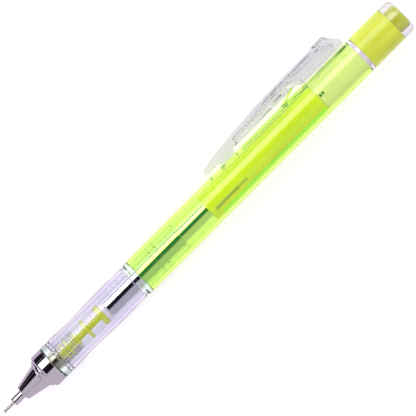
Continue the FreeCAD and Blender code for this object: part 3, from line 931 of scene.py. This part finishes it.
@dataclass
class Shaker:
    """The plated weight and the coloured carrier behind it."""

    def build(self) -> None:
        """Builds and dresses the weight and the carrier."""
        self.weight()
        self.carrier()

    def weight(self) -> None:
        """The weight, with a fine turned ring."""
        start, end, radius = AXIS.span("shaker_weight")
        bore, ring = 1.8, start + 9.6
        outline = [(start, bore + 0.15), (start + 0.15, bore), (end - 0.15, bore), (end, bore + 0.15)]
        outline += rounded((end, radius), (end, 0), (start, radius), 0.25)
        outline += [(ring + 0.2, radius), (ring, radius - 0.3), (ring - 0.2, radius)]
        outline += rounded((start, radius), (end, radius), (start, 0), 0.25)
        weight = Bench.turned("shaker_weight_bar", outline, 96)
        Finish.WEIGHT_PLATE.show(weight, Body.WEIGHT, "shaker_weight")

    def carrier(self) -> None:
        """The carrier: pocket for the weight, stop wall, funnel, moulded rib and the cut round its latch."""
        start, end, radius = AXIS.span("carrier")
        pocket, chamber, throat, stop, back = 3.05, 3.2, 1.52, 85.4, 88.0
        outline = [(start + 0.2, pocket), (start, pocket + 0.2), (start, radius - 0.2), (start + 0.2, radius)]
        outline += [(end - 0.2, radius), (end, radius - 0.2), (end, chamber + 0.15), (end - 0.15, chamber)]
        outline += [(back + 3, chamber), (back, throat), (stop, throat), (stop, pocket)]
        carrier = Bench.turned("carrier_tube", outline, 96)
        leg, foot = block(77.4, 88.6, -2.05, -1.2), block(77.2, 78.15, -2.9, -1.2)
        for number, flat in enumerate((leg, foot)):
            cutter = Bench.slab("latch_cut_%d" % number, flat, 1.0)
            Bench.combine(carrier, Bench.moved(cutter, (0, 0, 3.2)))
        Bench.soften(carrier, 0.04, 1)
        Finish.CARRIER.show(carrier, Body.KNOCK, "carrier")
        rail_start, rail_end, low, high = 78.2, end - 0.6, radius - 0.1, radius + 0.14
        outline = [(rail_start, low), (rail_start, high), (rail_end, high), (rail_end, low)]
        rail = Bench.turned("carrier_rail", outline, 96)
        band = Bench.slab("rail_band", block(70, 120, -3.78, -3.12), 3)
        Bench.combine(rail, Bench.moved(band, (0, 0, 3.1)), Solid.KEEP)
        Finish.RAIL.show(rail, Body.KNOCK)


@dataclass
class Grip:
    """The clear core with a ring at each end, and the tinted skin between them."""

    under_skin_r: float = 4.2
    fins: int = 18

    WAIST = (
        (0.0, 4.95), (0.12, 5.04), (0.75, 5.06), (0.85, 4.96), (1.0, 4.96), (1.1, 5.08), (1.7, 5.1), (2.6, 5.05),
        (3.6, 4.98), (4.8, 4.9), (6.2, 4.84), (7.8, 4.82), (9.6, 4.84), (11.6, 4.92), (13.6, 5.0), (15.6, 5.07),
        (18.0, 5.12), (21.0, 5.13), (24.0, 5.11),
    )

    def build(self) -> None:
        """Builds and dresses the core and the skin."""
        self.core()
        self.skin()

    def core(self) -> None:
        """The clear core: threads for the nose, two shown rings, and the tail in the barrel."""
        start, end, ring_r = AXIS.span("grip_core")
        skin_start, skin_end, _ = AXIS.span("grip_skin")
        tail_r, bore, foot_bore, thread_low, thread_high = 4.1, 3.1, 2.62, 3.5, 3.7
        nose_end, barrel_start = 18.2, 50.5
        outline = [(start, foot_bore)] + ridges(start, nose_end - 0.4, thread_low, thread_high, 0.5)
        outline += [(nose_end, thread_low), (nose_end, 4.9), (nose_end + 0.14, 5.06), (skin_start - 0.14, 5.06)]
        outline += [(skin_start, 4.92), (skin_start, self.under_skin_r), (skin_end, self.under_skin_r)]
        outline += [(skin_end, 4.95), (skin_end + 0.45, 4.95), (skin_end + 0.95, ring_r)]
        outline += [(barrel_start - 0.12, ring_r), (barrel_start, ring_r - 0.12), (barrel_start, tail_r)]
        outline += [(56.4, tail_r), (56.5, tail_r + 0.2), (58.5, tail_r + 0.2), (58.6, tail_r)]
        outline += [(end - 0.15, tail_r), (end, tail_r - 0.15), (end, bore + 0.1), (end - 0.1, bore)]
        outline += [(20.5, bore), (20.5, foot_bore)]
        core = Bench.turned("grip_core_tube", outline, 128)
        fin = Bench.slab("core_fin", block(20.4, 27.2, 2.8, bore + 0.3), 0.16)
        for blade in Bench.copies_round(fin, self.fins):
            Bench.combine(core, blade, Solid.ADD)
        Finish.CORE_CLEAR.show(core, Body.BARREL, "grip_core")

    def skin(self) -> None:
        """The soft skin: front lip, fine groove, hollow waist and fuller back."""
        start, end, _ = AXIS.span("grip_skin")
        inner = self.under_skin_r + 0.03
        shape = [(start + step, radius) for step, radius in self.WAIST]
        shape += [(end - 1.2, 5.08), (end - 0.3, 5.04), (end - 0.06, 4.94), (end - 0.06, inner)]
        skin = Bench.turned("grip_skin_sleeve", shape + [(start, inner)], 128)
        Finish.GRIP_SKIN.show(skin, Body.BARREL, "grip_skin")


@dataclass
class Barrel:
    """The lime barrel with its slot and tongue."""

    radius: float = 5.3
    bore: float = 4.35
    slot_start: float = 113.7
    slot_half_width: float = 1.2

    def build(self) -> None:
        """Builds and dresses the barrel."""
        start, end, _ = AXIS.span("barrel")
        outline = [(start, self.bore + 0.05), (start, self.radius - 0.12), (start + 0.12, self.radius)]
        outline += [(end - 0.12, self.radius), (end, self.radius - 0.12), (end, self.bore)]
        barrel = Bench.turned("barrel_tube", outline, 128)
        slot = block(self.slot_start, end + 1, self.bore - 0.6, self.radius + 0.6)
        Bench.combine(barrel, Bench.slab("clip_slot", slot, self.slot_half_width))
        Bench.combine(barrel, self.tongue(), Solid.ADD)
        Finish.LIME.show(barrel, Body.BARREL, "barrel")

    def tongue(self) -> Obj:
        """The springy tongue that rises from the barrel under the clip.

        Returns:
            The tongue, still in the drawing frame.
        """
        root, start, end, rise, thickness = 0.4, 108.3, 113.6, 1.6, 0.6
        flat = [(start - 0.3, self.radius - root), (start, self.radius), (end - 0.1, self.radius + rise)]
        flat += [(end, self.radius + rise - 0.1), (end, self.radius + rise - thickness)]
        flat += [(start + 1.9, self.radius - 0.02), (start + 1.9, self.radius - root)]
        tongue = Bench.slab("barrel_tongue", flat, 1.1)
        return Bench.soften(tongue, 0.05)


@dataclass
class Clip:
    """The clear clip, one moulding from its rounded tip to its base.

    TOP is its back in the side view. ROOM gives the station, floor and roof of its hollow, and SLOTS the parts of
    that height that are open. LINES are the grooves in its sides.
    """

    half_width: float = 2.28
    tip_half_width: float = 1.7
    underside: float = 6.42
    wall: float = 0.85
    bend: Place = (112.5, 101.0)

    TOP = (
        (83.9, 8.3), (86.0, 8.6), (88.5, 8.9), (91.0, 9.15), (94.5, 9.43), (98.1, 9.66), (102.0, 9.95),
        (106.0, 10.16), (111.7, 10.32), (117.0, 10.36), (121.0, 10.4), (125.0, 10.62),
    )

    ROOM = (
        (93.2, 6.95, 8.55), (98.1, 6.95, 8.85), (106.0, 7.2, 9.3), (112.5, 8.1, 9.42), (117.5, 7.25, 9.46),
        (124.5, 6.95, 9.6), (129.2, 6.95, 7.6),
    )
    SLOTS = ((0.0, 0.24), (0.36, 0.60), (0.72, 1.0))
    LINES = (
        ((93.0, 8.5), (98.1, 8.85), (106.0, 9.25), (112.0, 9.35), (118.0, 9.35), (124.5, 9.4), (129.0, 9.45)),
        ((92.5, 6.78), (106.0, 6.8)),
        ((93.0, 7.7), (98.1, 8.1), (106.0, 8.6), (111.5, 8.6)),
        ((113.2, 8.5), (120.0, 8.7), (129.4, 8.9)),
        ((112.6, 7.6), (116.9, 5.98)),
        ((117.6, 6.3), (131.0, 6.3)),
        ((93.5, 6.95), (101.0, 7.1), (110.5, 7.5)),
    )

    def build(self) -> None:
        """Builds and dresses the clip."""
        base_start, base_end, _ = AXIS.span("clip_base")
        tip, _, _ = AXIS.span("clip_arm")
        peak, saddle, rod_r, arm_end = (128.4, 10.92), 5.4, 5.38, (117.2, 5.4)
        outline = list(self.TOP) + rounded(peak, (125.0, 10.62), (base_end, 6.75), 0.3, 4)
        outline += rounded((base_end, 6.75), peak, (base_end, saddle), 0.2, 3)
        outline += [(base_end, saddle), arm_end] + rounded((116.3, saddle), arm_end, (111.0, 9.3), 0.4, 4)
        outline += [(115.0, self.underside), (92.0, self.underside), (91.5, self.underside - 0.1), (91.1, 5.42)]
        outline += [(90.7, 5.38), (87.1, 5.38), (86.7, 5.46), (85.5, 6.1)]
        outline += rounded((82.2, 5.98), (85.5, 6.1), (tip, 6.6), 0.4, 3)
        outline += [(tip + 0.02, 6.6), (tip + 0.02, 7.2)]
        outline += rounded((tip + 0.2, 8.02), (tip, 7.2), (83.9, 8.3), 0.5, 4)
        body = Bench.slab("clip_moulding", outline, self.half_width)
        for prism in (self.plan(tip, base_start), self.section()):
            Bench.combine(body, prism, Solid.KEEP)
        for cutter in self.hollows():
            Bench.combine(body, cutter)
        rod = [(110, 0), (110, rod_r), (133, rod_r), (133, 0)]
        Bench.combine(body, Bench.turned("saddle_rod", rod, 96))
        Bench.combine(body, Bench.slab("tongue_channel", block(107.5, 117.0, 5.0, 7.05), 1.3))
        Bench.soften(body, 0.12, 2)
        for cutter in self.grooves():
            Bench.combine(body, cutter)
        Finish.MILKY.show(self.web(), Body.CLIP_SLIDER, "clip_base")
        Finish.MARK.show(self.marks(), Body.CLIP_SLIDER)
        Bench.lay_down(body, None, "clip_arm")
        start, end = (tuple(AXIS.at(station, 8)) for station in self.bend)
        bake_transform(body)
        Finish.CLIP_CLEAR.dress(body)

    def plan(self, tip: float, base: float) -> Obj:
        """The clip's plan view as a prism: it narrows towards its rounded tip.

        Args:
            tip: The tip's station.
            base: The station where the full width is reached.

        Returns:
            The prism, still in the drawing frame.
        """
        edge = rounded((tip, self.tip_half_width), (tip, 0), (base, self.half_width), 0.9)
        edge += [(base, self.half_width), (134, self.half_width)]
        flat = edge + [(station, -side) for station, side in reversed(edge)]
        return Bench.moved(Bench.slab("clip_plan", flat, 5), (0, 8, 0), (math.pi / 2, 0, 0))

    def section(self) -> Obj:
        """The clip's cross-section as a prism: its outer corners are bevelled, so that it rests on a flat.

        Returns:
            The prism, still in the drawing frame.
        """
        low, high, length = 9.84, 11.0, 70.0
        wide = self.half_width + 0.02
        narrow = wide - (high - low)
        flat = [(-wide, 4), (wide, 4), (wide, low), (narrow, high), (-narrow, high), (-wide, low)]
        prism = Bench.slab("clip_section", flat, length / 2)
        return Bench.moved(prism, (AXIS.span("clip_base")[0], 0, 0), (0, math.pi / 2, 0))

    def half_width_at(self, station: float) -> float:
        """The clip's half width at a station.

        Args:
            station: Distance from the tip.

        Returns:
            The half width.
        """
        tip, base = AXIS.span("clip_arm")[0], AXIS.span("clip_base")[0]
        part = min(1.0, max(0.0, (station - tip) / (base - tip)))
        return self.tip_half_width + (self.half_width - self.tip_half_width) * part

    def grooves(self) -> list[Obj]:
        """Long shallow V grooves down both side faces, which catch the light as bright lines.

        Returns:
            The cutters.
        """
        made = []
        for number, line in enumerate(self.LINES):
            for hand in (1, -1):
                depth, rise, proud = 0.2, 0.32, 0.1
                reach = rise * (depth + proud) / depth
                places = [Vector((place, high, hand * self.half_width_at(place))) for place, high in line]
                start = places[0]
                ring = [
                    start + Vector((0, 0, -hand * depth)),
                    start + Vector((0, reach, hand * proud)),
                    start + Vector((0, -reach, hand * proud)),
                ]
                cutter = Bench.chain("clip_groove_%d" % number, ring + ring[:1])
                Bench.merge()
                bpy.ops.mesh.edge_face_add()
                for here, there in zip(places, places[1:]):
                    bpy.ops.mesh.extrude_region_move(TRANSFORM_OT_translate={"value": tuple(there - here)})
                Bench.seal()
                made.append(Bench.settle(cutter))
        return made

    def hollows(self) -> list[Obj]:
        """The long slots inside the clip, one over another, with thin ribs between them.

        Returns:
            The cutters.
        """
        made = []
        for number, parts in enumerate(self.SLOTS):
            bottom, top = ([(s, f + (r - f) * part) for s, f, r in self.ROOM] for part in parts)
            cutter = Bench.slab("clip_hollow_%d" % number, bottom + top[::-1], self.half_width - self.wall)
            made.append(Bench.soften(cutter, 0.14, 3))
        return made

    def marks(self) -> Obj:
        """Two small pegs moulded on the pusher ring's side.

        Returns:
            The pegs as one object.
        """
        pegs = []
        for station in (117.1, 118.0):
            peg = Bench.slab("ring_pegs", block(station, station + 0.65, -0.35, 0.35), 0.25)
            pegs.append(Bench.soften(Bench.moved(peg, (0, 0, 3.95)), 0.06))
        return Bench.join(pegs[0], pegs[1:])

    def web(self) -> Obj:
        """The web through the barrel's slot, and the ring that pushes the carrier.

        Returns:
            The web and ring as one object.
        """
        start, end, ring_r, bore = 116.85, 121.0, 4.1, 2.6
        plate_low, plate_end = 4.45, 129.8
        flat = [(117.0, ring_r - 0.3), (end, ring_r - 0.3), (end, plate_low), (plate_end, plate_low)]
        flat += [(plate_end, 5.3), (117.0, 5.3)]
        web = Bench.soften(Bench.slab("clip_web", flat, 1.0), 0.08)
        outline = [(start, bore), (start, ring_r - 0.1), (start + 0.1, ring_r), (end - 0.1, ring_r)]
        ring = Bench.turned("pusher_ring", outline + [(end, ring_r - 0.1), (end, bore)], 72)
        return Bench.join(web, [ring])


@dataclass
class EraserUnit:
    """The clear sleeve, the tray and eraser, the twist knob and its clear cap."""

    def build(self) -> None:
        """Builds and dresses the eraser unit's pieces."""
        self.sleeve()
        dress_node("eraser_tray", Finish.WHITE)
        self.eraser()
        self.knob()
        self.cap()

    def sleeve(self) -> None:
        """The fixed sleeve with its two guide slots, its shown collar and the thin skirt in front of it."""
        start, end, ring_r = AXIS.span("eraser_sleeve")
        ring_start, ring_end, bore, plug, tube = 132.02, 133.25, 3.6, 4.33, 4.05
        outline = [(start, bore), (start, plug - 0.15), (start + 0.15, plug), (ring_start - 0.1, plug)]
        outline += [(ring_start, tube), (end - 0.1, tube), (end, tube - 0.1), (end, bore)]
        sleeve = Bench.turned("eraser_sleeve_tube", outline, 128)
        outline = [(ring_start, tube + 0.03), (ring_start, ring_r - 0.15), (ring_start + 0.15, ring_r)]
        outline += [(ring_end - 0.15, ring_r), (ring_end, ring_r - 0.15), (ring_end, tube + 0.03)]
        collar = Bench.turned("sleeve_collar", outline, 128)
        Finish.CAP_CLEAR.show(collar, Body.BARREL)
        skirt_start, skirt_end, skirt_bore = 120.75, start - 0.02, 4.13
        outline = [(skirt_start, skirt_bore), (skirt_start, plug), (skirt_end, plug), (skirt_end, skirt_bore)]
        skirt = Bench.turned("sleeve_skirt", outline, 128)
        Bench.combine(skirt, Bench.slab("skirt_opening", block(119, start - 0.3, 3, 5), 1.15))
        Finish.MILKY.show(skirt, Body.BARREL)
        Bench.combine(sleeve, Bench.slab("sleeve_slot", block(134.4, end + 1, -6, 6), 0.5))
        Finish.MILKY.show(sleeve, Body.BARREL, "eraser_sleeve")

    def eraser(self) -> None:
        """The white eraser with a worn, rounded end."""
        start, end, radius = AXIS.span("eraser")
        outline = [(start, 0), (start, radius - 0.2), (start + 0.2, radius), (end - 0.6, radius)]
        outline += rounded((end, radius), (end - 1, radius), (end, 0), 0.6) + [(end, 1.2), (end, 0)]
        Finish.ERASER.show(Bench.turned("eraser_stick", outline, 96), Body.ERASER, "eraser")

    def knob(self) -> None:
        """The coloured twist knob with its neck, and room inside for the tray's pegs."""
        start, end, radius = AXIS.span("twist_knob")
        neck_r, neck_bore, bore, relief, body_end = 3.6, 3.25, 4.15, 4.75, 144.0
        outline = [(start, bore), (start, radius - 0.14), (start + 0.14, radius), (body_end - 0.1, radius)]
        outline += [(body_end, radius - 0.1), (body_end, neck_r), (end - 0.15, neck_r), (end, neck_r - 0.15)]
        outline += [(end, neck_bore), (body_end - 0.1, neck_bore), (body_end - 0.1, relief)]
        outline += [(start + 0.7, relief), (start + 0.7, bore)]
        Finish.KNOB.show(Bench.turned("twist_knob_shell", outline, 128), Body.KNOB, "twist_knob")

    def cap(self) -> None:
        """The clear cap, rounded at its end and open for the eraser."""
        start, end, radius = AXIS.span("end_cap")
        bore, mouth, lip = 3.62, 3.25, 147.35
        outline = [(start + 0.02, bore), (start + 0.02, radius - 0.08), (start + 0.1, radius)]
        outline += rounded((end, radius), (start, radius), (end, 0), 1.9, 10)
        outline += [(end, mouth + 0.12), (end - 0.12, mouth), (lip, mouth), (lip, bore)]
        Finish.CAP_CLEAR.show(Bench.turned("end_cap_shell", outline, 128), Body.KNOB, "end_cap")


# --- studio


@dataclass(frozen=True)
class Pane:
    """A flat lamp or card that faces the pencil.

    Args:
        name: Its name.
        reach: Where it starts and ends along the row's X, in metres.
        angles: The angles about the pencil that it fills, from the camera's direction towards the clip.
        distance: Its distance, in metres.
    """

    name: str
    reach: Place
    angles: Place
    distance: float

    def size(self) -> Place:
        """Its length along the pencil and the width that fills its angles."""
        half = math.radians(self.angles[1] - self.angles[0]) / 2
        return self.reach[1] - self.reach[0], 2 * self.distance * math.tan(half)

    def hang(self, obj: Obj) -> None:
        """Places a lamp or a card so that it faces the pencil.

        Args:
            obj: What is placed.
        """
        angle = math.radians(sum(self.angles) / 2)
        away = AXIS.side * math.cos(angle) + AXIS.out * math.sin(angle)
        middle = AXIS.at(0) + away * self.distance
        middle.x = sum(self.reach) / 2
        obj.matrix_world = Matrix.Translation(middle) @ basis(ALONG, away.cross(ALONG), away)


@dataclass
class Studio:
    """The floor, the lamps and the camera."""

    field_width: float = 0.10937
    lens: float = 300.0
    roll: float = math.radians(45.05)
    centre_station: float = 75.8

    SOFT_BOX = (Pane("soft_box", (-0.25, 0.25), (21, 57), 0.75), 2.2)
    FILL = (Pane("fill", (-0.5, 0.5), (-50, 30), 1.2), 7.6)
    BLACK = (0.01, 0.01, 0.012)
    MAUVE = (0.58, 0.53, 0.60)
    CARDS = (
        Pane("dark_card_near", (-0.26, 0.25), (-20, 19), 0.6),
        Pane("dark_card_far", (-1.2, 0.25), (57, 71), 0.6),
        Pane("dark_card_cone", (-1.2, -0.27), (33, 57), 0.6),
        Pane("dark_line_cone", (-1.2, -0.27), (-33, -30), 0.6),
    )
    FLOOR_CARDS = (("floor_card_dark", 0.010, 0.6, BLACK), ("floor_card_grey", -0.6, 0.010, MAUVE))

    def build(self) -> None:
        """Sets up floor, light and camera."""
        self.floor()
        self.world()
        self.lamps()
        self.cards()
        self.camera()

    def floor(self) -> None:
        """A pale floor with a very faint mottle."""
        Bench.clear()
        bpy.ops.mesh.primitive_plane_add(size=6, location=(0, 0, 0))
        floor = bpy.context.object
        floor.name = "floor"
        tree = Tree("pale_floor")
        colour = tree.blend(tree.noise(30), (0.955, 0.955, 0.955), (0.975, 0.975, 0.975))
        inputs = {"Base Color": colour, "Roughness": 0.7, "Specular IOR Level": 0.2}
        inputs |= {"Emission Color": (1.0, 1.0, 1.0, 1.0), "Emission Strength": 0.17}
        floor.data.materials.append(tree.finish(tree.principled(inputs)))

    def world(self) -> None:
        """Even pale light from all round."""
        world = bpy.data.worlds.new("studio")
        bpy.context.scene.world = world
        world.use_nodes = True
        background = world.node_tree.nodes["Background"]
        background.inputs["Color"].default_value = (0.95, 0.92, 0.97, 1)
        background.inputs["Strength"].default_value = 0.62
        bpy.context.scene.view_settings.view_transform = "Standard"

    def lamps(self) -> None:
        """A soft box over the pencil, towards the clip, and a fill lamp that reflections don't see."""
        self.lamp(*self.SOFT_BOX)
        fill = self.lamp(*self.FILL)
        fill.visible_glossy = fill.visible_transmission = fill.data.use_shadow = False

    def lamp(self, pane: Pane, watts: float) -> Obj:
        """A soft box that faces the pencil.

        Args:
            pane: Its place and size.
            watts: Its power.

        Returns:
            The lamp.
        """
        data = bpy.data.lights.new(pane.name, "AREA")
        data.shape, data.energy = "RECTANGLE", watts
        data.size, data.size_y = pane.size()
        obj = bpy.data.objects.new(pane.name, data)
        bpy.context.scene.collection.objects.link(obj)
        pane.hang(obj)
        return obj

    def cards(self) -> None:
        """Black cards round the pencil, seen in reflections and through clear parts, and two over the floor."""
        for pane in self.CARDS:
            card = self.card(pane.name, *pane.size(), self.BLACK)
            card.visible_transmission = True
            pane.hang(card)
        start, end = -1.2, -0.03
        for name, near, far, colour in self.FLOOR_CARDS:
            card = self.card(name, end - start, far - near, colour)
            card.location = ((start + end) / 2, (near + far) / 2, 0.1 * MM)

    @staticmethod
    def card(name: str, length: float, width: float, colour: Colour) -> Obj:
        """A card that is seen only in reflections.

        Args:
            name: Its name.
            length: Its length along the pencil.
            width: Its width.
            colour: Its colour.

        Returns:
            The plane, centred on the origin.
        """
        Bench.clear()
        bpy.ops.mesh.primitive_plane_add(size=1)
        card = bpy.context.object
        card.name = name
        card.scale = (length, width, 1)
        Bench.settle(card)
        tree = Tree(name + "_paper")
        paper = {"Base Color": (*colour, 1), "Roughness": 0.9, "Specular IOR Level": 0.0}
        card.data.materials.append(tree.finish(tree.principled(paper)))
        card.visible_camera = card.visible_diffuse = card.visible_shadow = card.visible_transmission = False
        return card

    def camera(self) -> None:
        """A long lens square to the clip's plane, rolled so that the pencil runs corner to corner."""
        data = bpy.data.cameras.new("camera")
        data.lens = self.lens
        distance = self.field_width * self.lens / data.sensor_width
        obj = bpy.data.objects.new("camera", data)
        bpy.context.scene.collection.objects.link(obj)
        right = ALONG * math.cos(self.roll) - AXIS.out * math.sin(self.roll)
        up = ALONG * math.sin(self.roll) + AXIS.out * math.cos(self.roll)
        place = AXIS.at(self.centre_station) + AXIS.side * distance
        obj.matrix_world = Matrix.Translation(place) @ basis(right, up, AXIS.side)
        data.clip_start, data.clip_end = 0.01, 10
        bpy.context.scene.camera = obj


def main() -> None:
    """Builds every sub-assembly in order."""
    logging.basicConfig(level=logging.INFO, format="%(name)s %(message)s")
    for part in (Nose(), Feed(), Shaker(), Grip(), Barrel(), Clip(), EraserUnit(), Studio()):
        LOG.info("building %s", type(part).__name__)
        part.build()


if __name__ == "__main__":
    main()
